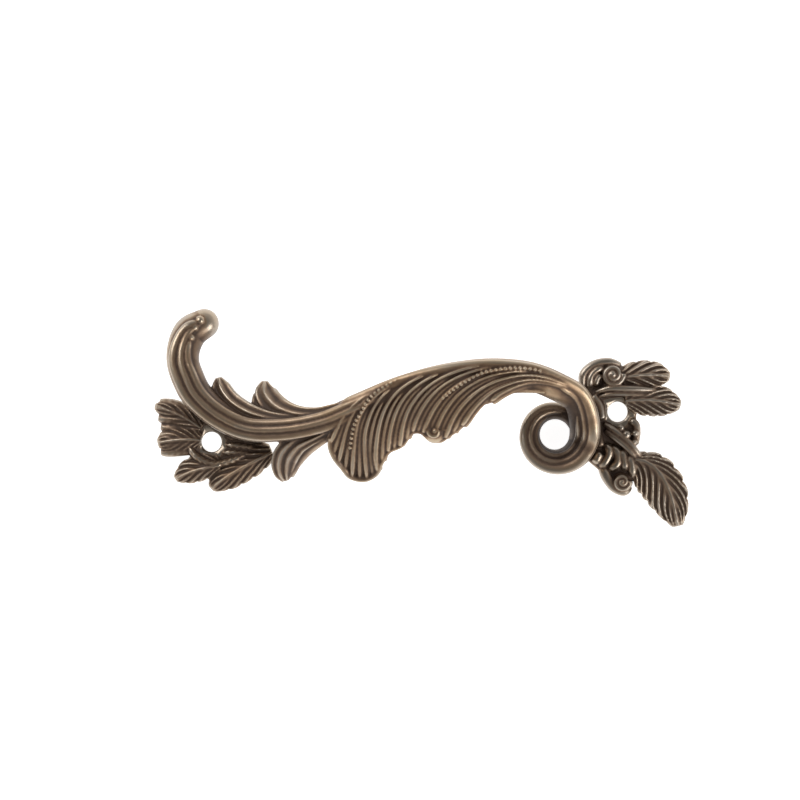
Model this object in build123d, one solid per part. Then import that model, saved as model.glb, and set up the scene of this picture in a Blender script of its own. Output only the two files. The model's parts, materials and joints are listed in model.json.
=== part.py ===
"""Rococo cabinet handle, one brass casting.

The cabinet's face is the plane z = 0 and +Z points away from it. +X runs along the line of the two screw holes and the
origin lies midway between them. All sizes are in millimetres.
"""

import math
import os
from itertools import repeat

from build123d import *

# Screw holes
HOLE_SPACING = 96.0
HOLE_DIAMETER = 4.8

# Bar
PROJECTION = 26.0
BAR_WIDTH = 7.6
BAR_THICKNESS = 7.6
BAR_CLEARANCE = 1.0
CURL_RADIUS = 6.8
CURL_END_RADIUS = 5.3
CURL_END_WIDTH = 3.0

# Acanthus leaf on the arch
LEAF_THICKNESS = 2.8
LEAF_RELIEF = 0.8
LEAF_DROOP = 7.2
LEAF_REACH = 16.5
LEAF_BORDER = -2.2
FLUTE_WIDTH = 5.0
LOBE_THICKNESS = 4.2

# Feet
FOOT_THICKNESS = 2.6
FOOT_LEAF_HEIGHT = 4.4
LEAF_FALL = 0.6
FAN_HEIGHT = 4.0
FOOT_RIB_HEIGHT = 5.0
VOLUTE_DIAMETER = 5.0
VOLUTE_HEIGHT = 5.0

LEFT = -HOLE_SPACING / 2
RIGHT = HOLE_SPACING / 2

# Sections: share of the half width (positive on the left of the run), share of the height above the underside.
FLUTED_BAR = (
    (0.60, 0.00), (1.00, 0.46), (0.54, 1.00), (0.22, 0.85), (-0.08, 0.97), (-0.38, 0.77), (-0.66, 0.84), (-1.00, 0.34),
    (-0.60, 0.00),
)
FLUTE = ((0.60, 0.00), (1.00, 0.42), (0.00, 1.00), (-1.00, 0.42), (-0.60, 0.00))
RIB = ((1.00, 0.00), (1.00, 0.42), (0.00, 1.00), (-1.00, 0.42), (-1.00, 0.00))

# Bar from the hook to the neck: x and y from the left hole, share of the bar's width, share of the projection, share
# of the bar's thickness. A thickness of None brings the underside down to the clearance over the cabinet.
HOOK_TO_NECK = (
    (3.1, 27.3, 0.40, 0.33, 0.44),
    (2.3, 27.9, 0.78, 0.37, 0.80),
    (0.2, 28.1, 0.96, 0.40, 0.96),
    (-3.4, 26.3, 0.95, 0.41, 0.96),
    (-4.8, 22.7, 0.98, 0.44, 1.0),
    (-5.1, 19.3, 1.00, 0.46, 1.0),
    (-4.2, 15.4, 1.00, 0.48, 1.06),
    (-2.8, 12.0, 0.97, 0.49, 1.2),
    (-0.5, 9.0, 0.92, 0.50, None),
    (3.3, 5.7, 0.89, 0.51, None),
    (8.5, 3.0, 0.86, 0.53, None),
    (15.4, 2.1, 0.83, 0.58, 1.5),
    (22.5, 2.4, 0.78, 0.66, 1.1),
    (27.2, 3.2, 0.74, 0.73, 1.0),
)
# Arch: share of the way from the left hole to the right one, then y and the same three shares.
ARCH = (
    (0.359, 5.6, 0.74, 0.85, 1.0),
    (0.481, 9.3, 0.80, 0.955, 1.0),
    (0.602, 11.2, 0.86, 1.0, 1.0),
    (0.717, 11.1, 0.90, 0.985, 1.0),
    (0.794, 9.6, 0.89, 0.93, 1.0),
    (0.850, 7.0, 0.88, 0.86, 1.05),
)
# Leg down to the right foot: x and y from the right hole, then the same three shares.
LEG = (
    (-9.9, 3.8, 0.87, 0.77, 1.5),
    (-8.3, -1.3, 0.90, 0.67, None),
)
# Curl: centre from the right hole, angles in degrees it starts and ends at, widths and crests as shares.
CURL_CENTRE = (-15.2, -4.3)
CURL_FIRST_ANGLE = -12.0
CURL_LAST_ANGLE = -312.0
CURL_STEPS = 12
CURL_END_STEPS = 5
CURL_FIRST_WIDTH = 0.90
CURL_FIRST_CREST = 0.58
CURL_LAST_CREST = 0.24

# Flutes of the leaf: tip along the bar from the neck, tip out from the bar's middle, and how far along the bar the flute
# takes to swing in.
FLUTES = (
    (-0.2, 8.4, 5.3), (0.8, 12.6, 5.3), (2.8, 15.4, 5.3), (6.2, 15.0, 6.1), (9.8, 12.7, 7.0), (13.8, 11.8, 8.0),
    (18.4, 10.4, 9.2), (21.2, 11.9, 10.0), (24.4, 13.5, 10.8), (30.4, 11.2, 12.0),
)
# Along one flute: share of that swing, share of the width, depth below the leaf's surface.
FLUTE_RUN = ((0.0, 0.36, 1.2), (0.13, 0.92, 0.2), (0.5, 1.0, 0.0), (1.3, 1.0, 0.1), (2.2, 0.8, 3.4))
# Small leaves on the bar: x and y from the left hole, half width, crest height.
UPPER_LOBE = ((2.8, 15.0, 0.9, 8.4), (3.3, 12.8, 2.2, 9.6), (6.6, 8.6, 2.4, 11.8), (11.6, 5.6, 2.0, 13.6), (18.0, 4.2, 1.1, 15.2))
MIDDLE_LOBE = ((13.7, 13.4, 0.9, 8.8), (13.9, 10.8, 2.6, 10.4), (17.0, 6.9, 2.8, 13.6), (22.5, 5.1, 1.8, 16.4), (28.6, 5.5, 1.0, 19.0))
LOWER_LOBE = (
    (17.1, -10.6, 1.0, 6.0), (16.9, -7.2, 2.8, 8.4), (19.6, -3.2, 2.9, 12.6), (24.6, -0.6, 2.0, 16.2), (28.7, 1.2, 1.2, 18.2),
)


def lefts(stations):
    """Unit plan directions to the left of the run, one for each station."""
    out = []
    for i in range(len(stations)):
        ax, ay = stations[max(i - 1, 0)][:2]
        bx, by = stations[min(i + 1, len(stations) - 1)][:2]
        length = math.hypot(bx - ax, by - ay)
        out.append((-(by - ay) / length, (bx - ax) / length))
    return out


def strand(stations, profiles, first=0, last=None):
    """Loft profiles along stations of (x, y, half width, crest height, underside height), or along some of them."""
    wires = []
    for (x, y, half, crest, under), (nx, ny), profile in list(zip(stations, lefts(stations), profiles))[first:last]:
        ring = [(x + a * half * nx, y + a * half * ny, under + b * (crest - under)) for a, b in profile]
        wires.append(Wire.make_polygon([Vector(*p) for p in ring]))
    return Solid.make_loft(wires)


def faceted(stations, profiles):
    """A strand that stands on the cabinet, closed by flat facets and one flat underside."""
    rings = []
    for (x, y, half, crest, under), (nx, ny), profile in zip(stations, lefts(stations), profiles):
        rings.append([Vector(x + a * half * nx, y + a * half * ny, under + b * (crest - under)) for a, b in profile])
    outlines = [rings[0], rings[-1], [ring[0] for ring in rings] + [ring[-1] for ring in reversed(rings)]]
    for near, far in zip(rings, rings[1:]):
        for i in range(len(near) - 1):
            outlines += [(near[i], near[i + 1], far[i + 1]), (near[i], far[i + 1], far[i])]
    return Solid(Shell([Face(Wire.make_polygon(outline)) for outline in outlines]))


def bar_stations():
    """Stations of the whole bar, from the hook's end round to the end of the curl."""
    rows = [(LEFT + x, *rest) for x, *rest in HOOK_TO_NECK]
    rows += [(LEFT + share * HOLE_SPACING, *rest) for share, *rest in ARCH]
    rows += [(RIGHT + x, *rest) for x, *rest in LEG]
    out = []
    for x, y, width, rise, thick in rows:
        crest = rise * PROJECTION
        under = BAR_CLEARANCE if thick is None else crest - thick * BAR_THICKNESS
        out.append((x, y, width * BAR_WIDTH / 2, crest, under))
    first_width = CURL_FIRST_WIDTH * BAR_WIDTH
    for i in range(CURL_STEPS + 1):
        t = i / CURL_STEPS
        angle = math.radians(CURL_FIRST_ANGLE + t * (CURL_LAST_ANGLE - CURL_FIRST_ANGLE))
        radius = CURL_RADIUS + t * (CURL_END_RADIUS - CURL_RADIUS)
        x = RIGHT + CURL_CENTRE[0] + radius * math.cos(angle)
        y = CURL_CENTRE[1] + radius * math.sin(angle)
        half = (first_width + t * (CURL_END_WIDTH - first_width)) / 2
        crest = PROJECTION * (CURL_FIRST_CREST + math.sqrt(t) * (CURL_LAST_CREST - CURL_FIRST_CREST))
        out.append((x, y, half, crest, BAR_CLEARANCE))
    return out


def bar_at(stations, s):
    """Plan point, left direction and crest height of the bar, a plan distance s past the neck."""
    left = lefts(stations)
    for i in range(len(HOOK_TO_NECK) - 1, len(stations) - 2):
        ax, ay, _, a_crest, _ = stations[i]
        bx, by, _, b_crest, _ = stations[i + 1]
        span = math.hypot(bx - ax, by - ay)
        if s <= span:
            break
        s -= span
    t = s / span
    nx, ny = (left[i][k] + t * (left[i + 1][k] - left[i][k]) for k in (0, 1))
    turn = left[i + 1][0] * left[i][1] - left[i + 1][1] * left[i][0]
    bulge = turn * span * t * (1 - t) / 2
    x = ax + t * (bx - ax) + nx * bulge
    y = ay + t * (by - ay) + ny * bulge
    return (x, y), (nx, ny), a_crest + (3 * t * t - 2 * t * t * t) * (b_crest - a_crest)


def leaf_flute(stations, tip_along, tip_out, swing):
    """One flute of the acanthus leaf, from its rounded tip up over the bar and into it."""
    out = []
    for share, width, tuck in FLUTE_RUN:
        reach = (tip_out - LEAF_BORDER) * math.exp(-share)
        slope = reach / swing
        (x, y), (nx, ny), crest = bar_at(stations, tip_along + share * swing)
        out_by = LEAF_BORDER + reach
        droop = LEAF_DROOP * (max(out_by + 1, 0) / LEAF_REACH) ** 1.5
        half = FLUTE_WIDTH / 2 * width * slope / math.hypot(1, slope)
        top = crest + LEAF_RELIEF - droop - tuck
        out.append((x - nx * out_by, y - ny * out_by, max(half, 0.5), top, top - LEAF_THICKNESS))
    return strand(out, repeat(FLUTE))


def lobe(rows):
    """A small leaf springing from the bar near the left foot."""
    return strand([(LEFT + x, y, half, crest, crest - LOBE_THICKNESS) for x, y, half, crest in rows], repeat(FLUTE))


def foot_leaf(hole, base, bend, tip, half, teeth):
    """A low leaf lying on the cabinet, with a raised midrib and a toothed edge."""
    rows, profiles = [], []
    count = 2 * teeth + 1
    for i in range(count + 1):
        t = i / count
        x, y = ((1 - t) ** 2 * base[k] + 2 * t * (1 - t) * bend[k] + t * t * tip[k] for k in (0, 1))
        swell = 1 - (0.5 * ((0.4 - t) / 0.4) ** 2 if t < 0.4 else 0.80 * ((t - 0.4) / 0.6) ** 3)
        tooth = 1.0 if i % 2 else 0.80
        rows.append((hole + x, y, half * swell * tooth, FOOT_LEAF_HEIGHT * (1 - 0.45 * t * t), 0))
        edge = 1 - LEAF_FALL * tooth
        profiles.append(((1, 0), (1, edge), (0, 1), (-1, edge), (-1, 0)))
    return faceted(rows, profiles)


def foot_rib(hole, rows, height=FOOT_RIB_HEIGHT):
    """A raised rib standing on the cabinet: x and y from the hole and half width in each row."""
    return faceted([(hole + x, y, half, height, 0) for x, y, half in rows], repeat(RIB))


def pad(hole, rounds):
    """Flat ground of a foot: the hull of circles given by x and y from the hole and radius."""
    outline = make_hull([edge for x, y, r in rounds for edge in (Pos(hole + x, y) * Circle(r)).edges()])
    return extrude(outline, FOOT_THICKNESS).solid()


def volute(hole, x, y):
    """Round scroll end: a raised ring about a small eye, lofted through rings of share of radius and of height."""
    wires = []
    for radius, height in ((1.0, 0.0), (1.0, 0.7), (0.76, 1.0), (0.46, 0.78), (0.26, 1.0)):
        ring = RegularPolygon(radius * VOLUTE_DIAMETER / 2, 12).wire()
        wires.append(Pos(hole + x, y, height * VOLUTE_HEIGHT) * ring)
    return Solid.make_loft(wires, True)


stations = bar_stations()
seam = len(stations) - CURL_END_STEPS
bar = strand(stations, repeat(FLUTED_BAR), last=seam)
curl_end = strand(stations, repeat(FLUTED_BAR), first=seam - 1)
leaf = [leaf_flute(stations, *row) for row in FLUTES]
lobes = [lobe(rows) for rows in (UPPER_LOBE, MIDDLE_LOBE, LOWER_LOBE)]

left_foot = [
    pad(LEFT, ((0.0, 0.0, 5.3), (10.4, -2.6, 2.6))),
    foot_rib(LEFT, ((-1.6, 3.6, 0.8), (-6.8, 8.3, 1.4), (-12.0, 10.1, 1.6)), FAN_HEIGHT),
    foot_rib(LEFT, ((-2.0, 2.6, 0.8), (-7.4, 6.0, 1.5), (-12.4, 7.4, 1.75)), FAN_HEIGHT),
    foot_rib(LEFT, ((-2.2, 1.4, 0.8), (-7.3, 3.4, 1.5), (-12.3, 4.4, 1.8)), FAN_HEIGHT),
    foot_rib(LEFT, ((-2.2, 0.2, 0.8), (-12.3, 1.4, 1.8)), FAN_HEIGHT),
    foot_rib(LEFT, ((-1.8, -0.9, 0.8), (-12.6, -1.4, 1.7)), FAN_HEIGHT),
    foot_leaf(LEFT, (2.4, -5.2), (-3.7, -5.0), (-9.1, -8.3), 3.4, 2),
    foot_leaf(LEFT, (13.0, -3.6), (5.6, -5.8), (-0.8, -11.0), 4.0, 2),
    foot_rib(LEFT, ((-5.2, -1.2, 0.7), (-2.6, -4.2, 1.0), (2.2, -5.4, 1.0), (8.3, -3.3, 0.7))),
]
right_foot = [
    pad(RIGHT, ((-2.3, 8.1, 4.0), (-0.4, 0.0, 4.9), (-1.2, -11.6, 4.2), (-8.0, 0.5, 2.4), (-8.0, -7.5, 2.4))),
    foot_leaf(RIGHT, (-2.3, 7.2), (5.4, 8.2), (12.8, 8.0), 3.9, 3),
    foot_leaf(RIGHT, (0.0, 4.0), (7.2, 2.0), (14.8, 0.4), 4.1, 3),
    foot_leaf(RIGHT, (2.6, -10.5), (10.2, -15.3), (12.3, -27.6), 5.2, 4),
    foot_rib(RIGHT, ((-7.4, 6.2, 0.9), (-7.2, 8.9, 1.3), (-5.2, 11.0, 1.5), (-1.9, 11.5, 1.5), (0.9, 10.7, 1.3), (2.4, 8.9, 0.7))),
    foot_rib(RIGHT, ((-3.0, -4.0, 1.2), (0.7, -7.6, 1.4), (4.4, -11.6, 1.2))),
    foot_rib(RIGHT, ((-2.3, -6.4, 1.0), (-3.9, -9.8, 1.4), (-4.6, -13.3, 1.0))),
    foot_rib(RIGHT, ((-0.5, -7.9, 1.0), (-1.5, -11.6, 1.4), (-2.0, -15.8, 1.2))),
    foot_rib(RIGHT, ((2.1, -10.3, 1.0), (1.7, -13.7, 1.3), (1.8, -17.0, 1.0))),
    volute(RIGHT, -0.2, -16.6),
    volute(RIGHT, -2.1, 8.8),
]

# Fused one after another, so that each join is a simple one.
def joined(pieces):
    whole = pieces[0]
    for piece in pieces[1:]:
        whole = whole.fuse(piece).solid()
    return whole


casting = joined([bar, curl_end, *leaf, *lobes, joined(left_foot), joined(right_foot)])
for x in (LEFT, RIGHT):
    casting = (casting - Pos(x, 0, 0) * Cylinder(HOLE_DIAMETER / 2, 2 * FOOT_RIB_HEIGHT)).solid()

os.makedirs("parts", exist_ok=True)
export_step(casting, "parts/handle_casting.step")
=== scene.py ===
"""Looks of a rococo cabinet handle: one antique brass casting on a pale sweep, seen from straight above.

The cabinet's face is the plane z = 0. Sizes are in millimetres until a mesh is made, and then in metres.
"""

import json
import math

import bmesh
import bpy
import numpy as np
from mathutils import Matrix, Vector


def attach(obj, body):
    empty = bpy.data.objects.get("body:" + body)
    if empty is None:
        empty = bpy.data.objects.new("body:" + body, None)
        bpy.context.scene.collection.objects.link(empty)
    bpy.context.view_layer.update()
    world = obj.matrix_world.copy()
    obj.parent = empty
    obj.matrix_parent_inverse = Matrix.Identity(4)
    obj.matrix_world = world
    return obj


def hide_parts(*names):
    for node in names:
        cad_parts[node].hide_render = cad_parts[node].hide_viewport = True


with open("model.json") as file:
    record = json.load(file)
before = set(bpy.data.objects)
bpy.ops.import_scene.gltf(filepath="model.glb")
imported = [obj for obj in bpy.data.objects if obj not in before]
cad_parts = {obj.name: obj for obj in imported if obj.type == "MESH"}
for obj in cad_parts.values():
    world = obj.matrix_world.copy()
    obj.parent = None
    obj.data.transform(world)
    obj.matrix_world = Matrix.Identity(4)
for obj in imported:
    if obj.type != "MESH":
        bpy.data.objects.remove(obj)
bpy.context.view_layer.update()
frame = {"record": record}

MM = 0.001
screw_holes = next(m for m in frame["record"]["mounts"] if m["name"] == "screw_holes")
HOLE_SPACING = screw_holes["dims"]["spacing_x_mm"]
HOLE_RADIUS = screw_holes["dims"]["hole_r_mm"]
LEFT = -HOLE_SPACING / 2
RIGHT = HOLE_SPACING / 2

# Bar
PROJECTION = 26.0
BAR_WIDTH = 7.6
BAR_THICKNESS = 7.6
BAR_CLEARANCE = 1.0
BAR_SHOULDER = 3.9
BAR_BELLY = 2.4
RIDGE_RISE = 0.9
RIDGE_THICKNESS = 2.2
HOOK_EYE_RADIUS = 1.15
HOOK_EYE_SINK = 0.4

# Curl
CURL_CENTRE = (-15.2, -4.3)
CURL_RADIUS = 6.8
CURL_END_RADIUS = 5.2
CURL_END_WIDTH = 3.0
CURL_FIRST_ANGLE = -12.0
CURL_LAST_ANGLE = -336.0
CURL_STEPS = 24
CURL_FIRST_WIDTH = 0.90
CURL_FIRST_CREST = 0.58
CURL_LAST_CREST = 0.24

# Acanthus leaf on the arch
LEAF_THICKNESS = 2.8
LEAF_RELIEF = 0.8
LEAF_DROOP = 7.2
LEAF_REACH = 16.5
LEAF_BORDER = -2.4
LEAF_LENGTH = 60.0
LEAF_LAST_TIP = 47.0
LEAF_GROOVE = 0.9
LEAF_GROUND_SPREAD = 0.8
RIM_HALF = 0.7
RIM_THICKNESS = 1.9
RIM_SINK = 1.0
RIM_ROLL = 0.5
LEAF_SCROLL_RADIUS = 2.3
BEAD_RADIUS = 0.40
BEAD_PITCH = 1.1
BEAD_LIFT = 0.15

# Small leaves on the bar
LOBE_THICKNESS = 4.2
LOBE_GROOVE = 0.7

# Feet
FOOT_THICKNESS = 2.6
FOOT_EDGE = 0.5
FOOT_LEAF_HEIGHT = 3.6
FOOT_LEAF_WIDEST = 0.4
FOOT_RIB_HEIGHT = 4.6
MIDRIB_RELIEF = 0.6
VEIN_RELIEF = 0.4
VEIN_SLANT = 0.6
SCALLOP = 0.16
BARB_PITCH = 1.5
SCROLL_THICKNESS = 2.5

# Mesh
VOXEL = 0.2
TRIANGLES = 190000
FINE_ROUNDS = 6
BROAD_ROUNDS = 60
BAR_STEP = 0.4
LEAF_STEP = 0.3
RIB_STEP = 0.2

# Bar from the hook to the neck: x and y from the left hole, share of the bar's width, share of the
# projection, share of the bar's thickness. A thickness of None brings the underside down to the clearance
# over the cabinet.
HOOK_TO_NECK = (
    (0.5, 27.9, 0.92, 0.39, 0.90),
    (-2.8, 26.1, 1.04, 0.41, 0.96),
    (-4.6, 22.8, 1.02, 0.44, 1.0),
    (-5.1, 19.3, 1.00, 0.46, 1.0),
    (-4.2, 15.4, 1.00, 0.48, 1.06),
    (-2.8, 12.0, 0.97, 0.49, 1.2),
    (-0.5, 9.0, 0.92, 0.50, None),
    (3.3, 5.7, 0.89, 0.51, None),
    (8.5, 3.0, 0.86, 0.53, None),
    (15.4, 2.1, 0.83, 0.58, 1.5),
    (22.5, 2.4, 0.78, 0.66, 1.1),
    (27.2, 3.2, 0.74, 0.73, 1.0),
)
# Arch: share of the way from the left hole to the right one, then y and the same three shares.
ARCH = (
    (0.359, 5.6, 0.74, 0.85, 1.0),
    (0.481, 9.3, 0.80, 0.955, 1.0),
    (0.602, 11.2, 0.86, 1.0, 1.0),
    (0.717, 11.1, 0.90, 0.985, 1.0),
    (0.794, 9.6, 0.89, 0.93, 1.0),
    (0.850, 7.0, 0.88, 0.86, 1.05),
)
# Leg down to the right foot: x and y from the right hole, then the same three shares.
LEG = (
    (-9.9, 3.8, 0.87, 0.77, 1.5),
    (-8.3, -1.3, 0.90, 0.67, None),
)
# Round starts of the hook's ridges: distance along the bar, and out from its middle.
HOOK_EYES = ((0.4, 1.0), (2.4, 0.2), (5.0, -0.8))

# Edge of the leaf, from the neck round its lobes: distance along the bar from the neck, and out from the
# bar's middle.
LEAF_EDGE = (
    (0.2, 4.6), (-0.3, 6.1), (-0.3, 8.4), (0.5, 11.7), (1.3, 14.6), (2.9, 16.1), (6.2, 15.8),
    (8.2, 14.2), (10.6, 12.4), (14.2, 12.2), (18.6, 10.2), (20.6, 10.7), (23.0, 13.5), (25.0, 14.0),
    (27.4, 13.3), (33.8, 9.9), (34.7, 8.1), (40.3, 6.3), (45.5, 4.0), (50.0, 3.2), (54.0, 2.2),
)
# How far along the bar a ridge of the leaf takes to swing in, and how far apart the ridges are at its edge.
LEAF_FLOW = ((3.0, 5.3), (28.0, 12.0))
LEAF_PITCH = ((0.0, 1.25), (30.0, 1.45), (52.0, 1.7))
# Ridges in turn: length as a share of that swing, and how much higher than the rest.
LEAF_RIDGES = ((3.2, 0.2), (1.7, -0.2), (2.5, 0.1), (1.7, -0.2))
# Small scroll and rows of pearls on the leaf, placed as its edge is.
LEAF_SCROLL = (24.3, 11.6)
LONG_BEAD_ROW = (
    (2.9, 8.1), (4.6, 5.2), (6.2, 3.3), (8.6, 1.6), (11.8, -0.7), (14.6, -1.5), (18.2, -2.1), (26.2, -2.6),
)
SHORT_BEAD_ROW = ((28.2, 4.6), (33.4, 2.1), (37.9, 0.2), (43.5, -1.0), (51.5, -1.7))

# Small leaves on the bar: x and y from the left hole, half width, crest height.
UPPER_LOBE = (
    (2.9, 15.0, 1.0, 8.4), (3.2, 13.2, 2.0, 9.4), (5.0, 9.9, 2.3, 11.0), (8.6, 6.9, 2.2, 12.6),
    (13.4, 4.9, 1.7, 14.0), (20.0, 3.8, 1.1, 16.2),
)
MIDDLE_LOBE = (
    (13.7, 13.4, 1.0, 8.8), (13.6, 11.2, 2.4, 10.2), (15.4, 8.0, 2.8, 12.6), (19.4, 5.6, 2.2, 15.2),
    (24.6, 4.9, 1.5, 17.4), (31.0, 6.2, 0.9, 20.6),
)
MIDDLE_LOBE_SIDE = (
    (11.4, 10.7, 0.8, 9.0), (11.8, 8.3, 1.5, 10.6), (14.6, 5.8, 1.5, 12.8), (20.0, 4.3, 1.0, 15.6),
    (26.0, 4.5, 0.8, 18.2),
)
LOWER_LOBE = (
    (16.8, -10.5, 1.2, 6.0), (16.4, -8.4, 2.3, 7.6), (17.0, -5.2, 3.0, 10.2), (19.6, -2.2, 2.7, 13.0),
    (24.6, -0.2, 1.8, 16.0), (29.5, 1.6, 1.4, 18.4),
)
LOWER_WEB = (
    (18.0, -9.6, 0.9, 5.2), (19.0, -6.8, 1.5, 7.6), (21.4, -4.0, 1.7, 10.8), (25.0, -1.6, 1.6, 14.6),
    (29.4, 0.4, 1.2, 17.6),
)

# Patina, from the grooves to the rubbed ridges: how far rubbed it is, and its colour. Its dark end also
# paints shade into deep hollows where parts meet.
PATINA_AND_PAINTED_SHADE = (
    (0.0, (0.050, 0.028, 0.015)),
    (0.3, (0.108, 0.070, 0.046)),
    (0.6, (0.204, 0.147, 0.102)),
    (0.8, (0.290, 0.225, 0.165)),
    (1.0, (0.350, 0.305, 0.250)),
)
# Tint over the patina, from the low parts to those that are handled most.
TINT = ((0.0, (0.88, 0.86, 0.86)), (1.0, (1.0, 0.89, 0.75)))
# Light tent, from the sides to overhead.
TENT = (
    (0.0, (0.9, 0.9, 0.9)),
    (0.45, (0.75, 0.75, 0.76)),
    (0.85, (0.2, 0.2, 0.2)),
    (1.0, (0.16, 0.16, 0.16)),
)

solids = []


def smooth_rows(rows, step):
    """Rows along a smooth curve through the given rows, about a step apart in plan."""
    rows = np.array(rows, float)
    spans = np.hypot(*np.diff(rows[:, :2], axis=0).T)
    along = np.concatenate(([0], np.cumsum(spans)))
    slopes = np.gradient(rows, along, axis=0)
    at = np.linspace(0, along[-1], max(int(along[-1] / step), 2) + 1)
    i = np.clip(np.searchsorted(along, at, side="right") - 1, 0, len(spans) - 1)
    span = spans[i][:, None]
    t = ((at - along[i]) / spans[i])[:, None]
    near = (1 + 2 * t) * (1 - t) ** 2 * rows[i] + t * (1 - t) ** 2 * span * slopes[i]
    far = t * t * (3 - 2 * t) * rows[i + 1] - t * t * (1 - t) * span * slopes[i + 1]
    return near + far


def lefts(points):
    """Unit plan directions to the left of a run of plan points."""
    run = np.gradient(np.asarray(points)[:, :2], axis=0)
    run /= np.hypot(run[:, 0], run[:, 1])[:, None]
    return np.column_stack((-run[:, 1], run[:, 0]))


def dome(share, power=2.3):
    """Height share of a rounded back at a share of its half width."""
    return (1 - np.minimum(np.abs(share), 1) ** power) ** (1 / power)


def round_end(distance, length):
    """Share of full size near a rounded end, at a distance from it."""
    t = np.clip(distance / length, 0, 1)
    return np.sqrt(1 - (1 - t) ** 2)


def ease(value, first, last):
    """Smooth step from 0 at the first value to 1 at the last."""
    t = np.clip((value - first) / (last - first), 0, 1)
    return t * t * (3 - 2 * t)


def between(value, pairs):
    """Value read from pairs, straight between them."""
    return np.interp(value, *zip(*pairs))


def keep_tube(rings):
    """Keeps a closed tube through rings of points, with nothing below the cabinet's face."""
    count, around = rings.shape[:2]
    base = np.arange(count * around).reshape(count, around)
    faces = [tuple(base[0]), tuple(base[-1][::-1])]
    for near, far in zip(base, base[1:]):
        faces += zip(near, far, np.roll(far, -1), np.roll(near, -1))
    points = rings.reshape(-1, 3)
    points[:, 2] = np.maximum(points[:, 2], 0)
    solids.append((points, faces))


def keep_strand(rows, shoulder, belly, carve=None, across=17):
    """Keeps a rounded strand along rows of (x, y, half width, crest height, underside height).

    carve gives how deep the back is cut, from the share across, positive to the left, and the row's number.
    """
    rows = np.asarray(rows)
    left = lefts(rows)
    share = np.cos(np.linspace(0, math.pi, across))[None, :]
    half, crest, under = (rows[:, k][:, None] for k in (2, 3, 4))
    height = crest - under
    top = crest - np.minimum(shoulder, 0.6 * height) * (1 - dome(share))
    if carve:
        top = top - carve(share, np.arange(len(rows))[:, None])
    low = under + np.minimum(belly, 0.35 * height) * (1 - dome(share))
    top = np.maximum(top, low + 0.02)
    z = np.concatenate((top, low[:, ::-1]), axis=1)
    side = np.concatenate((share, share[:, ::-1]), axis=1) * half
    x = rows[:, 0][:, None] + side * left[:, 0][:, None]
    y = rows[:, 1][:, None] + side * left[:, 1][:, None]
    keep_tube(np.stack((x, y, z), axis=2))


def keep_pearl(x, y, z, radius):
    """Keeps a small ball."""
    down = np.linspace(0, math.pi, 13)[:, None]
    around = np.linspace(0, 2 * math.pi, 20, endpoint=False)[None, :]
    size = radius * np.maximum(np.sin(down), 0.02)
    height = z + radius * np.cos(down) + 0 * around
    keep_tube(np.stack((x + size * np.cos(around), y + size * np.sin(around), height), axis=2))


def bar_rows():
    """Rows of the whole bar, from the hook's end round to the end of the curl."""
    rows = [(LEFT + x, *rest) for x, *rest in HOOK_TO_NECK]
    rows += [(LEFT + share * HOLE_SPACING, *rest) for share, *rest in ARCH]
    rows += [(RIGHT + x, *rest) for x, *rest in LEG]
    out = []
    for x, y, width, rise, thick in rows:
        crest = rise * PROJECTION
        under = BAR_CLEARANCE if thick is None else crest - thick * BAR_THICKNESS
        out.append((x, y, width * BAR_WIDTH / 2, crest, under))
    first_width = CURL_FIRST_WIDTH * BAR_WIDTH
    for t in np.linspace(0, 1, CURL_STEPS + 1):
        angle = math.radians(CURL_FIRST_ANGLE + t * (CURL_LAST_ANGLE - CURL_FIRST_ANGLE))
        radius = CURL_RADIUS + t * (CURL_END_RADIUS - CURL_RADIUS)
        half = (first_width + t * (CURL_END_WIDTH - first_width)) / 2
        crest = PROJECTION * (CURL_FIRST_CREST + math.sqrt(t) * (CURL_LAST_CREST - CURL_FIRST_CREST))
        x = RIGHT + CURL_CENTRE[0] + radius * math.cos(angle)
        y = CURL_CENTRE[1] + radius * math.sin(angle)
        out.append((x, y, half, crest, BAR_CLEARANCE))
    return out


bar = smooth_rows(bar_rows(), BAR_STEP)
bar_left = lefts(bar)
bar_along = np.concatenate(([0], np.cumsum(np.hypot(*np.diff(bar[:, :2], axis=0).T))))
BAR_LENGTH = bar_along[-1]
# Rows past the hook, where the bar only runs to the right.
PAST_HOOK = slice(60, 140)
NECK = np.interp(LEFT + HOOK_TO_NECK[-1][0], bar[PAST_HOOK, 0], bar_along[PAST_HOOK])


def on_bar(along, out):
    """Plan points along the bar and out to the right of its middle, with its half width and crest there."""
    along = np.asarray(along, float)
    column = [np.interp(along, bar_along, bar[:, k]) for k in range(4)]
    left = [np.interp(along, bar_along, bar_left[:, k]) for k in (0, 1)]
    return column[0] - left[0] * out, column[1] - left[1] * out, column[2], column[3]


def curl_slope(share, along, half):
    """How much lower the bar's back lies where it slopes in towards the middle of the curl."""
    strength = ease(along, NECK + 54, NECK + 66) * (2.0 - 1.6 * ease(along, NECK + 74, NECK + 86))
    return strength * half * ((1 - share) / 2) ** 1.7


def bar_back(along, out):
    """Height of the bar's smooth back."""
    _, _, half, crest = on_bar(along, 0)
    return crest - BAR_SHOULDER * (1 - dome(out / half)) - curl_slope(-out / half, along, half)


def leaf_back(along, out):
    """Height of the leaf: over the bar's back, and drooping where it spreads past the bar's right side."""
    crest = on_bar(along, 0)[3]
    droop = LEAF_DROOP * (np.maximum(out + 1, 0) / LEAF_REACH) ** 1.5
    return np.where(out < 0, np.minimum(bar_back(along, out), crest - droop), crest - droop) + LEAF_RELIEF


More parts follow.
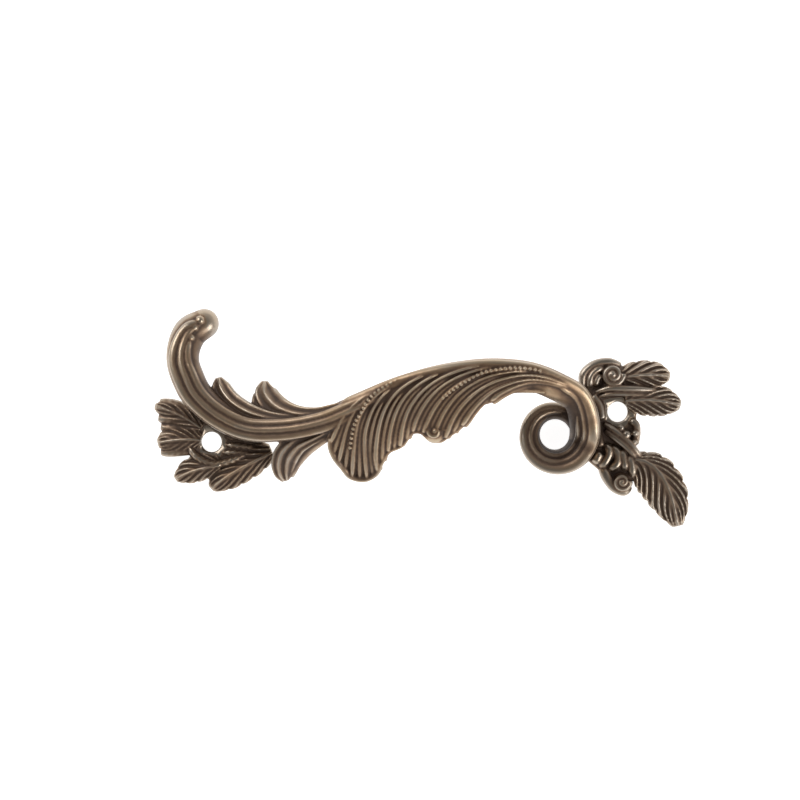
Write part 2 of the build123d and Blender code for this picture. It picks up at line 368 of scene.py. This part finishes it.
def keep_bar():
    """Keeps the smooth bar and the round end of its hook."""
    keep_strand(
        bar, BAR_SHOULDER, BAR_BELLY, lambda share, i: curl_slope(share, bar_along[i], bar[i, 2]), 41,
    )
    x, y, half, crest, under = bar[0]
    turn = np.linspace(0, math.pi / 2, 16)
    beyond = half * np.sin(turn)
    size = np.maximum(np.cos(turn), 0.04)
    middle = (crest + under) / 2
    rows = np.column_stack((
        x - beyond * bar_left[0, 1], y + beyond * bar_left[0, 0], half * size,
        middle + (crest - middle) * size, middle - (middle - under) * size,
    ))
    keep_strand(rows[::-1], BAR_SHOULDER, BAR_BELLY, across=41)


def keep_bar_ridge(shares, first, last, half, swing=12.0):
    """Keeps a ridge along the bar that swings across from one share of the half width to another."""
    along = np.arange(first, last, BAR_STEP)
    share = shares[0] + (shares[1] - shares[0]) * ease(along, first, first + swing)
    out = share * on_bar(along, 0)[2]
    x, y, _, _ = on_bar(along, out)
    size = ease(along, first - 1.5, first + 3.5) * round_end(last - along + 0.05, 8.0)
    crest = bar_back(along, out) + RIDGE_RISE * size
    keep_strand(np.column_stack((x, y, half * size + 0.15, crest, crest - RIDGE_THICKNESS)), 1.1, 0.5)


def keep_hook_eyes():
    """Keeps the round starts of the hook's ridges."""
    for along, out in HOOK_EYES:
        x, y, _, _ = on_bar(along, out)
        keep_pearl(float(x), float(y), float(bar_back(along, out)) - HOOK_EYE_SINK, HOOK_EYE_RADIUS)


def keep_leaf_ridge(tip_along, tip_out, length, lift):
    """Keeps one ridge of the leaf and its ground, from a rounded tip up over the bar to the far border."""
    flow = between(tip_along, LEAF_FLOW)
    length = min(flow * length, LEAF_LENGTH - tip_along)
    run = np.arange(0, length, LEAF_STEP)
    along = NECK + tip_along + run
    reach = (tip_out - LEAF_BORDER) * np.exp(-run / flow)
    out = LEAF_BORDER + reach
    x, y, _, _ = on_bar(along, out)
    slope = reach / flow
    narrowing = slope / slope[0] * np.hypot(1, slope[0]) / np.hypot(1, slope)
    tip = round_end(run + 0.1, 1.6)
    end = round_end(length - run, 4.0)
    half = np.maximum(0.56 * between(tip_along, LEAF_PITCH) * narrowing, 0.42) * (0.4 + 0.6 * tip)
    crest = leaf_back(along, out) + lift - 0.9 * (1 - tip) - 1.0 * (1 - end)
    keep_strand(np.column_stack((x, y, half, crest, crest - LEAF_THICKNESS)), 1.2, 0.8)
    ground = crest - lift - LEAF_GROOVE
    wide = half + LEAF_GROUND_SPREAD * ease(reach, 0.0, 5.0)
    keep_strand(np.column_stack((x, y, wide, ground, ground - LEAF_THICKNESS + 1.0)), 0.8, 0.6)


def keep_leaf_ridges():
    """Keeps the leaf's ridges, set out along its edge so that they lie a pitch apart across their run."""
    edge = smooth_rows(LEAF_EDGE, 0.05)
    gone = 1.0
    count = 0
    for (along, out), (step_along, step_out) in zip(edge, np.diff(edge, axis=0)):
        slope = (out - LEAF_BORDER) / between(along, LEAF_FLOW)
        gone += (step_along * slope + step_out) / math.hypot(1, slope)
        if gone >= between(along, LEAF_PITCH) and along < LEAF_LAST_TIP:
            keep_leaf_ridge(along, out, *LEAF_RIDGES[count % len(LEAF_RIDGES)])
            gone = 0.0
            count += 1


def keep_leaf_rim():
    """Keeps the leaf's rim, rolled on the first lobe, and the scroll at the tip of the middle lobe."""
    along, out = smooth_rows(LEAF_EDGE, LEAF_STEP).T
    x, y, _, _ = on_bar(NECK + along, out)
    rolled = 1 - ease(along, 7.0, 10.0)
    crest = leaf_back(NECK + along, out) - RIM_SINK + RIM_ROLL * rolled
    keep_strand(np.column_stack((x, y, RIM_HALF + 0.1 * rolled, crest, crest - RIM_THICKNESS)), 0.9, 0.7)
    along, out = LEAF_SCROLL
    x, y, _, _ = on_bar(NECK + along, out)
    height = float(leaf_back(NECK + along, out)) + 0.1
    keep_scroll(float(x), float(y), LEAF_SCROLL_RADIUS, height, 1.2, 1)


def keep_beads(line):
    """Keeps a row of small pearls on the leaf."""
    rows = smooth_rows(line, 0.1)
    gone = np.concatenate(([0], np.cumsum(np.hypot(*np.diff(rows, axis=0).T))))
    for at in np.arange(0, gone[-1], BEAD_PITCH):
        along, out = (np.interp(at, gone, rows[:, k]) for k in (0, 1))
        x, y, _, _ = on_bar(NECK + along, out)
        keep_pearl(float(x), float(y), float(leaf_back(NECK + along, out)) + BEAD_LIFT, BEAD_RADIUS)


def keep_scroll(x, y, radius, height, turns, hand):
    """Keeps a round scroll end: a spiral ridge winding in to an eye, on a low drum."""
    t = np.linspace(0, 1, 90)
    angle = hand * 2 * math.pi * turns * t
    reach = radius * (1 - 0.82 * t)
    half = 0.26 * radius * (1 - 0.3 * t)
    crest = height + 0.4 * t
    spiral_x = x + reach * np.cos(angle)
    spiral_y = y + reach * np.sin(angle)
    rows = np.column_stack((spiral_x, spiral_y, half, crest, crest - SCROLL_THICKNESS))
    keep_strand(rows, 0.8, 0.2, across=15)
    keep_pearl(x, y, height - 0.2, 0.3 * radius)
    keep_pearl(x, y, height - 0.9 - radius, 1.25 * radius)


def keep_lobe(rows, ridges):
    """Keeps a small leaf springing from the bar, cut by lengthwise grooves into ridges."""
    rows = [(LEFT + x, y, half, crest, crest - LOBE_THICKNESS) for x, y, half, crest in rows]
    path = smooth_rows(rows, LEAF_STEP)
    t = np.linspace(0, 1, len(path))
    tip = round_end(t + 0.01, 0.1)
    path[:, 2] *= 0.5 + 0.5 * tip
    path[:, 3] -= 0.8 * (1 - tip)

    def grooves(share, i):
        wave = 0.5 - 0.5 * np.cos(math.pi * ridges * (share + 1))
        return LOBE_GROOVE * wave * (np.abs(share) < 0.95)

    keep_strand(path, 1.6, 1.0, grooves, 41)


def keep_foot_leaf(hole, base, bend, tip, half, veins, lean=0.0, relief=VEIN_RELIEF):
    """Keeps a low leaf lying on the cabinet, with a midrib, long slanting veins and a scalloped edge.

    lean is how far the midrib's foot lies to the left, as a share of the half width.
    """
    t = np.linspace(0, 1, 90)[:, None]
    share = np.linspace(1, -1, 57)[None, :]
    x, y = ((1 - t) ** 2 * base[k] + 2 * t * (1 - t) * bend[k] + t * t * tip[k] for k in (0, 1))
    left = lefts(np.column_stack((x, y)))
    before = 0.5 * ((FOOT_LEAF_WIDEST - t) / FOOT_LEAF_WIDEST) ** 2
    after = 0.75 * (np.maximum(t - FOOT_LEAF_WIDEST, 0) / (1 - FOOT_LEAF_WIDEST)) ** 3
    swell = 1 - np.where(t < FOOT_LEAF_WIDEST, before, after)
    middle = lean * (1 - t)
    across = np.where(share > middle, (share - middle) / (1 - middle), (middle - share) / (1 + middle))
    height = FOOT_LEAF_HEIGHT * (1 - 0.3 * t * t) * (1 - 0.35 * across ** 2)
    vein = relief * np.cos(2 * math.pi * veins * (t - VEIN_SLANT * across)) * ease(across, 0.05, 0.35)
    midrib = MIDRIB_RELIEF * np.exp(-(across / 0.14) ** 2)
    top = np.maximum(height + vein + midrib, 0.4) * round_end(1.03 - t, 0.08)
    phase = (veins * (t - VEIN_SLANT)) % 1
    scallop = SCALLOP * (1 - round_end(phase, 0.6) * round_end(1 - phase, 0.3)) * np.abs(share) ** 5
    side = share * half * swell * (1.02 - scallop)
    x = hole + x + side * left[:, 0][:, None]
    y = y + side * left[:, 1][:, None]
    back = np.stack((x, y, top), axis=2)
    floor = np.stack((x[:, ::-1], y[:, ::-1], 0 * top), axis=2)
    keep_tube(np.concatenate((back, floor), axis=1))


def keep_foot_rib(hole, points, half, height=FOOT_RIB_HEIGHT, drop=0.0, barbs=0.0, taper=0.12):
    """Keeps a raised rib standing on the cabinet through points from the hole, lower by a drop at its end.

    barbs is the depth of the slanting cuts on its sides, taper the share of its length that each end takes.
    """
    rows = smooth_rows([(hole + x, y) for x, y in points], RIB_STEP)
    t = np.linspace(0, 1, len(rows))
    end = round_end(t + 0.02, taper) * round_end(1.02 - t, taper)
    crest = (height - drop * t * t) * (0.6 + 0.4 * end)

    def cuts(share, i):
        slant = RIB_STEP * i / BARB_PITCH - 0.7 * np.abs(share)
        return barbs * (0.5 + 0.5 * np.cos(2 * math.pi * slant)) * ease(np.abs(share), 0.1, 0.5)

    rows = np.column_stack((rows, half * (0.3 + 0.7 * end), crest, 0 * t))
    keep_strand(rows, 1.1 * half, 0.01, cuts, 25)


def keep_pad(hole, rounds):
    """Keeps the flat ground of a foot: the hull of circles given by x and y from the hole and radius."""
    pad = bmesh.new()
    for x, y, radius in rounds:
        for turn in np.linspace(0, 2 * math.pi, 48, endpoint=False):
            for inset, z in ((0.0, 0.0), (0.0, FOOT_THICKNESS - FOOT_EDGE), (FOOT_EDGE, FOOT_THICKNESS)):
                reach = radius - inset
                pad.verts.new((hole + x + reach * math.cos(turn), y + reach * math.sin(turn), z))
    bmesh.ops.convex_hull(pad, input=pad.verts)
    bmesh.ops.delete(pad, geom=[v for v in pad.verts if not v.link_faces], context="VERTS")
    pad.verts.index_update()
    points = np.array([v.co for v in pad.verts])
    solids.append((points, [tuple(v.index for v in f.verts) for f in pad.faces]))
    pad.free()


# Bar with its lengthwise ridges
keep_bar()
keep_bar_ridge((0.25, 0.55), 0.0, NECK + 8, 0.98)
keep_bar_ridge((0.02, 0.05), 0.8, NECK + 14, 0.8)
keep_bar_ridge((-0.22, -0.42), 4.0, NECK + 18, 0.8)
keep_bar_ridge((-0.60, -0.50), NECK + 4, BAR_LENGTH - 1, 1.15, 45.0)
keep_bar_ridge((-0.05, 0.02), NECK + 56, BAR_LENGTH - 4, 0.65)
keep_bar_ridge((0.46, 0.48), NECK + 66, BAR_LENGTH - 8, 0.6)
keep_hook_eyes()

# Acanthus leaf and the small leaves
keep_leaf_ridges()
keep_leaf_rim()
keep_beads(LONG_BEAD_ROW)
keep_beads(SHORT_BEAD_ROW)
keep_lobe(UPPER_LOBE, 2)
keep_lobe(MIDDLE_LOBE, 2)
keep_lobe(MIDDLE_LOBE_SIDE, 1)
keep_lobe(LOWER_LOBE, 3)
keep_lobe(LOWER_WEB, 0)

# Left foot: ground, fan of ribs under two leaves, ribs past the hole, two lower leaves, garland
keep_pad(LEFT, ((0.0, 0.0, 5.3), (10.4, -2.6, 2.6)))
for line, half, height in (
    (((-2.4, 4.5), (-6.6, 8.7), (-11.6, 10.4)), 1.3, 3.1),
    (((-2.7, 3.8), (-7.2, 7.2), (-12.4, 8.6)), 1.3, 3.5),
    (((-3.0, 3.2), (-7.5, 5.6), (-12.2, 6.5)), 1.4, 3.2),
    (((-3.1, 2.0), (-7.2, 3.6), (-11.8, 4.4)), 1.3, 3.0),
    (((-3.1, 1.0), (-7.0, 1.9), (-12.2, 2.3)), 1.4, 3.4),
    (((-3.0, -0.2), (-6.9, 0.2), (-12.6, 0.3)), 1.4, 3.5),
    (((-2.2, -1.4), (-6.6, -1.5), (-12.2, -1.7)), 1.3, 3.1),
):
    keep_foot_rib(LEFT, line, half, height, 0.6, 0.1, 0.4)
keep_foot_leaf(LEFT, (-2.2, 3.4), (-6.6, 7.4), (-12.8, 9.4), 2.7, 4, 0.0, 0.35)
keep_foot_leaf(LEFT, (-2.4, 0.6), (-7.0, 1.5), (-12.8, 0.7), 3.6, 5, 0.0, 0.35)
for line in (
    ((3.4, 0.9), (7.2, 0.4), (10.8, -1.2)),
    ((3.2, -0.9), (7.0, -1.5), (11.4, -2.6)),
    ((2.4, -2.7), (6.4, -3.0), (10.6, -3.9)),
):
    keep_foot_rib(LEFT, line, 0.9, 3.6, 0.5, 0.2, 0.4)
keep_foot_leaf(LEFT, (1.6, -5.4), (-3.95, -5.2), (-9.2, -8.2), 3.2, 4, 0.2, 0.3)
keep_foot_leaf(LEFT, (14.0, -3.1), (5.65, -6.0), (-1.0, -11.0), 3.9, 5, 0.2, 0.3)
GARLAND = ((-5.6, -0.5), (-3.5, -3.4), (0.1, -5.2), (4.4, -4.7), (8.5, -3.2))
keep_foot_rib(LEFT, GARLAND, 0.85, 4.2, 0.4, 0.2, 0.3)

# Right foot: ground and the ribs beside the curl
keep_pad(RIGHT, (
    (-2.3, 8.1, 4.0), (-0.4, 0.0, 4.9), (-1.2, -11.6, 4.2), (-8.0, 0.5, 2.4), (-8.0, -7.5, 2.4),
))
for line in (
    ((-7.6, 5.4), (-5.8, 2.2), (-5.2, -2.0)),
    ((-5.6, 4.4), (-4.2, 2.0), (-3.7, -1.6)),
    ((-6.4, -1.0), (-5.0, -5.0), (-4.4, -8.0)),
):
    keep_foot_rib(RIGHT, line, 0.9, 3.6)

# Right foot: upper scroll, with the ribs that wind round it
for line, half, height, drop in (
    (((-7.8, 6.4), (-7.4, 9.4), (-5.0, 11.4), (-1.4, 11.9), (1.6, 10.9)), 1.0, 4.4, 0.2),
    (((-6.2, 6.2), (-5.7, 8.7), (-4.2, 10.2), (-2.2, 10.7)), 0.8, 4.5, 0.0),
    (((-4.7, 6.4), (-4.3, 8.0), (-3.3, 9.2)), 0.7, 4.3, 0.0),
):
    keep_foot_rib(RIGHT, line, half, height, drop, 0.0, 0.3)
keep_scroll(RIGHT - 0.5, 8.8, 2.5, 4.7, 1.8, -1)

# Right foot: two stems over the hole and the two leaves at their ends
keep_foot_rib(RIGHT, ((-4.9, 5.0), (-2.3, 5.6), (3.3, 5.2), (9.6, 4.4)), 0.75, 4.9, 0.9, 0.0, 0.45)
keep_foot_rib(RIGHT, ((-3.9, 3.9), (-1.7, 4.3), (3.5, 3.9), (9.4, 3.2)), 0.6, 4.3, 0.7, 0.0, 0.45)
keep_foot_leaf(RIGHT, (0.5, 7.8), (7.6, 8.8), (13.0, 7.3), 3.5, 4)
keep_foot_leaf(RIGHT, (2.0, 2.4), (8.9, 2.75), (15.0, 0.3), 3.8, 5)

# Right foot: pearls under the hole, held by a rib
keep_foot_rib(RIGHT, ((2.8, -2.1), (4.1, -3.4), (4.2, -5.0), (3.5, -8.0)), 0.9, 3.6)
for x, y, radius in ((1.6, -5.5, 1.1), (3.7, -5.4, 0.8), (0.5, -3.8, 0.8), (3.3, -7.5, 0.7)):
    keep_pearl(RIGHT + x, y, 3.6, radius)

# Right foot: two stems to the large leaf, the short ribs beside them, and the lower scroll
for line in (
    ((-3.4, -2.6), (-0.7, -4.7), (1.9, -7.2), (5.0, -11.7)),
    ((-3.3, -4.2), (-0.8, -6.3), (1.6, -8.6), (4.3, -12.3)),
):
    keep_foot_rib(RIGHT, line, 0.75, 4.7, 0.4, 0.0, 0.4)
for line in (
    ((-4.8, -9.0), (-5.6, -10.6), (-6.4, -11.7)),
    ((-3.3, -7.3), (-2.7, -9.4), (-3.8, -11.5), (-5.1, -12.8)),
    ((-1.9, -7.8), (-0.7, -10.3), (-1.0, -12.1), (-3.0, -13.6)),
    ((-0.1, -8.9), (0.7, -11.3), (0.9, -14.1)),
    ((1.7, -10.2), (2.4, -12.9), (2.4, -15.7)),
):
    keep_foot_rib(RIGHT, line, 1.0, 4.3, 0.3, 0.0, 0.3)
SCROLL_BACK = ((-4.7, -12.6), (-3.4, -15.8), (-1.8, -17.9), (0.2, -18.7), (1.7, -17.6))
keep_foot_rib(RIGHT, SCROLL_BACK, 1.2, 3.8, 0.0, 0.0, 0.25)
keep_scroll(RIGHT - 0.2, -16.5, 2.0, 4.6, 1.6, -1)
keep_foot_leaf(RIGHT, (3.0, -12.4), (10.4, -15.4), (12.2, -28.0), 5.3, 6, 0.4)


def joined_mesh(name):
    """One mesh of all the kept solids, in metres."""
    points = []
    faces = []
    start = 0
    for solid_points, solid_faces in solids:
        points.append(solid_points)
        faces += [tuple(int(i) + start for i in face) for face in solid_faces]
        start += len(solid_points)
    mesh = bpy.data.meshes.new(name)
    mesh.from_pydata((np.concatenate(points) * MM).tolist(), [], faces)
    return mesh


def apply_modifier(piece, kind, **values):
    """Adds a modifier to a piece and applies it."""
    modifier = piece.modifiers.new(kind.title(), kind)
    for name, value in values.items():
        setattr(modifier, name, value)
    evaluated = piece.evaluated_get(bpy.context.evaluated_depsgraph_get())
    made = bpy.data.meshes.new_from_object(evaluated)
    piece.modifiers.clear()
    piece.data = made


def screw_hole_cutter():
    """Two plain cylinders where the screws pass."""
    cutter = bmesh.new()
    for x in (LEFT, RIGHT):
        place = Matrix.Translation((x * MM, 0, 0))
        bmesh.ops.create_cone(
            cutter, cap_ends=True, segments=64, radius1=HOLE_RADIUS * MM, radius2=HOLE_RADIUS * MM,
            depth=2 * FOOT_RIB_HEIGHT * MM, matrix=place,
        )
    mesh = bpy.data.meshes.new("screw_hole_cutter")
    cutter.to_mesh(mesh)
    cutter.free()
    return bpy.data.objects.new("screw_hole_cutter", mesh)


def relief_of(mesh, rounds):
    """How far each point stands out from its smoothed surroundings, in mm: less than zero in grooves."""
    count = len(mesh.vertices)
    points = np.empty(count * 3, np.float32)
    normals = np.empty(count * 3, np.float32)
    mesh.vertices.foreach_get("co", points)
    mesh.vertices.foreach_get("normal", normals)
    points = points.reshape(-1, 3).astype(float)
    normals = normals.reshape(-1, 3)
    ends = np.empty(len(mesh.edges) * 2, np.int32)
    mesh.edges.foreach_get("vertices", ends)
    here = np.concatenate((ends[0::2], ends[1::2]))
    there = np.concatenate((ends[1::2], ends[0::2]))
    degree = np.maximum(np.bincount(here, minlength=count), 1)
    soft = points.copy()
    for _ in range(rounds):
        soft = np.column_stack([np.bincount(here, soft[there, k], count) / degree for k in range(3)])
    return ((points - soft) * normals).sum(axis=1) / MM


def keep_attribute(mesh, name, values):
    """Stores one number for each point of a mesh."""
    mesh.attributes.new(name, "FLOAT", "POINT").data.foreach_set("value", values.astype(np.float32))


handle = bpy.data.objects.new("handle_casting_carved", joined_mesh("handle_casting_carved"))
bpy.context.scene.collection.objects.link(handle)
cutter = screw_hole_cutter()
bpy.context.scene.collection.objects.link(cutter)
apply_modifier(handle, "REMESH", mode="VOXEL", voxel_size=VOXEL * MM)
apply_modifier(handle, "SMOOTH", factor=0.5, iterations=2)
apply_modifier(handle, "BOOLEAN", operation="DIFFERENCE", object=cutter, solver="MANIFOLD")
bpy.data.objects.remove(cutter)
handle.data.calc_loop_triangles()
apply_modifier(handle, "DECIMATE", ratio=min(1.0, TRIANGLES / len(handle.data.loop_triangles)))
for face in handle.data.polygons:
    face.use_smooth = True
keep_attribute(handle.data, "fine_relief", relief_of(handle.data, FINE_ROUNDS))
# The material uses the broad relief to paint shade into deep hollows where parts meet, along with patina.
keep_attribute(handle.data, "broad_relief", relief_of(handle.data, BROAD_ROUNDS))


def node(tree, kind, place, inputs=None, **settings):
    """Adds a node, sets its properties, and sets each input or links it to another node's output."""
    made = tree.nodes.new(kind)
    made.location = place
    for name, value in settings.items():
        setattr(made, name, value)
    for name, value in (inputs or {}).items():
        if isinstance(value, bpy.types.NodeSocket):
            tree.links.new(value, made.inputs[name])
        else:
            made.inputs[name].default_value = value
    return made


def times_plus(tree, place, value, factor, plus, **settings):
    """A value times a factor, plus another."""
    inputs = {0: value, 1: factor, 2: plus}
    return node(tree, "ShaderNodeMath", place, inputs, operation="MULTIPLY_ADD", **settings).outputs[0]


def ranged(tree, place, value, span, target):
    """A value moved from one span to another, and held within it."""
    inputs = {
        "Value": value, "From Min": span[0], "From Max": span[1], "To Min": target[0], "To Max": target[1],
    }
    return node(tree, "ShaderNodeMapRange", place, inputs).outputs["Result"]


def noise(tree, place, points, **inputs):
    """A cloudy value that drifts over the surface."""
    return node(tree, "ShaderNodeTexNoise", place, {"Vector": points, **inputs}).outputs["Fac"]


def colour_ramp(tree, place, value, stops):
    """A colour read from stops, each a place and a colour."""
    ramp = node(tree, "ShaderNodeValToRGB", place, {"Fac": value})
    while len(ramp.color_ramp.elements) < len(stops):
        ramp.color_ramp.elements.new(0.5)
    for element, (at, colour) in zip(ramp.color_ramp.elements, stops):
        element.position = at
        element.color = (*colour, 1)
    return ramp.outputs["Color"]


def antique_brass():
    """Brass under a brown patina, darkest in the grooves and rubbed bright on the ridges, with shade
    painted into deep hollows where parts meet.
    """
    material = bpy.data.materials.new("antique_brass")
    material.use_nodes = True
    tree = material.node_tree
    shader = tree.nodes["Principled BSDF"]
    shader.inputs["IOR"].default_value = 1.5
    fine = node(tree, "ShaderNodeAttribute", (-1600, 300), attribute_name="fine_relief").outputs["Fac"]
    broad = node(tree, "ShaderNodeAttribute", (-1600, 60), attribute_name="broad_relief").outputs["Fac"]
    points = node(tree, "ShaderNodeTexCoord", (-1800, -200)).outputs["Object"]
    axes = node(tree, "ShaderNodeSeparateXYZ", (-1600, 760), {"Vector": points}).outputs

    # Wear: ridges more than grooves, in drifting clouds. Deep hollows where parts meet get painted shade on
    # top of their patina, and the low parts at the left foot are made darker.
    low = ranged(tree, (-1400, 900), axes["Z"], (0.009, 0.005), (0.0, 1.0))
    # Low parts at the left foot are made darker, by up to 0.16 on the ramp.
    left_foot_darkening = ranged(tree, (-1400, 640), axes["X"], (-0.025, -0.040), (0.0, -0.16))
    cloud = noise(tree, (-1600, -200), points, Scale=180.0, Detail=6.0, Roughness=0.6)
    cloud_share = times_plus(tree, (-1400, -200), cloud, 1.0, -0.5)
    fine_share = times_plus(tree, (-1400, 300), fine, 5.0, 0.34)
    # The broad relief adds painted shade in deep hollows between parts, beside the patina in the grooves.
    relief_share = times_plus(tree, (-1200, 160), broad, 0.45, fine_share)
    dull = times_plus(tree, (-1000, 400), low, left_foot_darkening, relief_share)
    wear_and_shade = times_plus(tree, (-800, 160), cloud_share, 0.45, dull, use_clamp=True)

    # Colour: the patina by its wear, and painted shade in deep hollows, warmer on the high parts that the
    # hand rubs
    patina = colour_ramp(tree, (-560, 240), wear_and_shade, PATINA_AND_PAINTED_SHADE)
    drift = noise(tree, (-1000, 620), points, Scale=110.0, Detail=3.0)
    handled = ranged(tree, (-1000, 860), axes["Z"], (0.009, 0.020), (-0.8, -0.15))
    warmth = times_plus(tree, (-780, 620), drift, 2.0, handled)
    tint = colour_ramp(tree, (-560, 560), warmth, TINT)
    tinted = node(
        tree, "ShaderNodeMix", (-260, 360), {0: 1.0, 6: patina, 7: tint},
        data_type="RGBA", blend_type="MULTIPLY",
    )
    tree.links.new(tinted.outputs[2], shader.inputs["Base Color"])

    # Gloss and cast grain
    tree.links.new(ranged(tree, (-560, -40), wear_and_shade, (0.0, 1.0), (0.6, 0.33)), shader.inputs["Roughness"])
    tree.links.new(ranged(tree, (-560, -320), wear_and_shade, (0.0, 1.0), (0.35, 1.0)), shader.inputs["Metallic"])
    grain = noise(tree, (-800, -560), points, Scale=2600.0, Detail=3.0)
    bump_inputs = {"Strength": 0.12, "Distance": 0.0001, "Height": grain}
    bump = node(tree, "ShaderNodeBump", (-560, -560), bump_inputs)
    tree.links.new(bump.outputs["Normal"], shader.inputs["Normal"])
    return material


handle.data.materials.clear()
handle.data.materials.append(antique_brass())
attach(handle, "root")
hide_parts("handle_casting")

# Stage
FLOOR_SIZE = 3.0
FLOOR_DROP = 0.0003


def pale_floor():
    """A wide white sweep that keeps a faint shadow."""
    bpy.ops.mesh.primitive_plane_add(size=FLOOR_SIZE, location=(0, 0, -FLOOR_DROP))
    floor = bpy.context.object
    floor.name = "pale_floor"
    material = bpy.data.materials.new("pale_floor")
    material.use_nodes = True
    shader = material.node_tree.nodes["Principled BSDF"]
    shader.inputs["Base Color"].default_value = (0.86, 0.86, 0.86, 1)
    shader.inputs["Roughness"].default_value = 0.9
    shader.inputs["Emission Color"].default_value = (1, 1, 1, 1)
    shader.inputs["Emission Strength"].default_value = 0.9
    floor.data.materials.append(material)
    return floor


pale_floor()


def soft_lamp(name, place, size, power):
    """A square soft lamp that faces the handle."""
    data = bpy.data.lights.new(name, "AREA")
    data.size = size
    data.energy = power
    lamp = bpy.data.objects.new(name, data)
    lamp.location = place
    lamp.rotation_euler = Vector(place).to_track_quat("Z", "Y").to_euler()
    bpy.context.scene.collection.objects.link(lamp)


soft_lamp("upper_left_lamp", (-0.5, 0.5, 0.6), 0.5, 4.2)
soft_lamp("lower_right_lamp", (0.55, -0.4, 0.5), 0.5, 4.0)


def light_tent():
    """Surroundings that are bright round the sides and dim overhead."""
    world = bpy.data.worlds.new("light_tent")
    world.use_nodes = True
    tree = world.node_tree
    direction = node(tree, "ShaderNodeTexCoord", (-900, 0)).outputs["Generated"]
    axes = node(tree, "ShaderNodeSeparateXYZ", (-700, 0), {"Vector": direction}).outputs
    tent = colour_ramp(tree, (-500, 0), axes["Z"], TENT)
    tree.links.new(tent, tree.nodes["Background"].inputs["Color"])
    return world


bpy.context.scene.world = light_tent()

# Camera straight above, turned as in the photograph. PHOTO_WIDTH is measured at the height PHOTO_PLANE.
PHOTO_WIDTH = 186.9
PHOTO_PLANE = 12.0
PHOTO_CENTRE = (-2.96, 6.57)
PHOTO_TURN = 4.24
LENS = 200.0
SENSOR = 36.0
camera_data = bpy.data.cameras.new("camera")
camera_data.lens = LENS
camera_data.sensor_width = SENSOR
camera_data.clip_start = 0.01
camera = bpy.data.objects.new("camera", camera_data)
camera_height = PHOTO_WIDTH * LENS / SENSOR + PHOTO_PLANE
camera.location = (PHOTO_CENTRE[0] * MM, PHOTO_CENTRE[1] * MM, camera_height * MM)
camera.rotation_euler = (0, 0, math.radians(-PHOTO_TURN))
bpy.context.scene.collection.objects.link(camera)
bpy.context.scene.camera = camera
bpy.context.scene.view_settings.view_transform = "Standard"
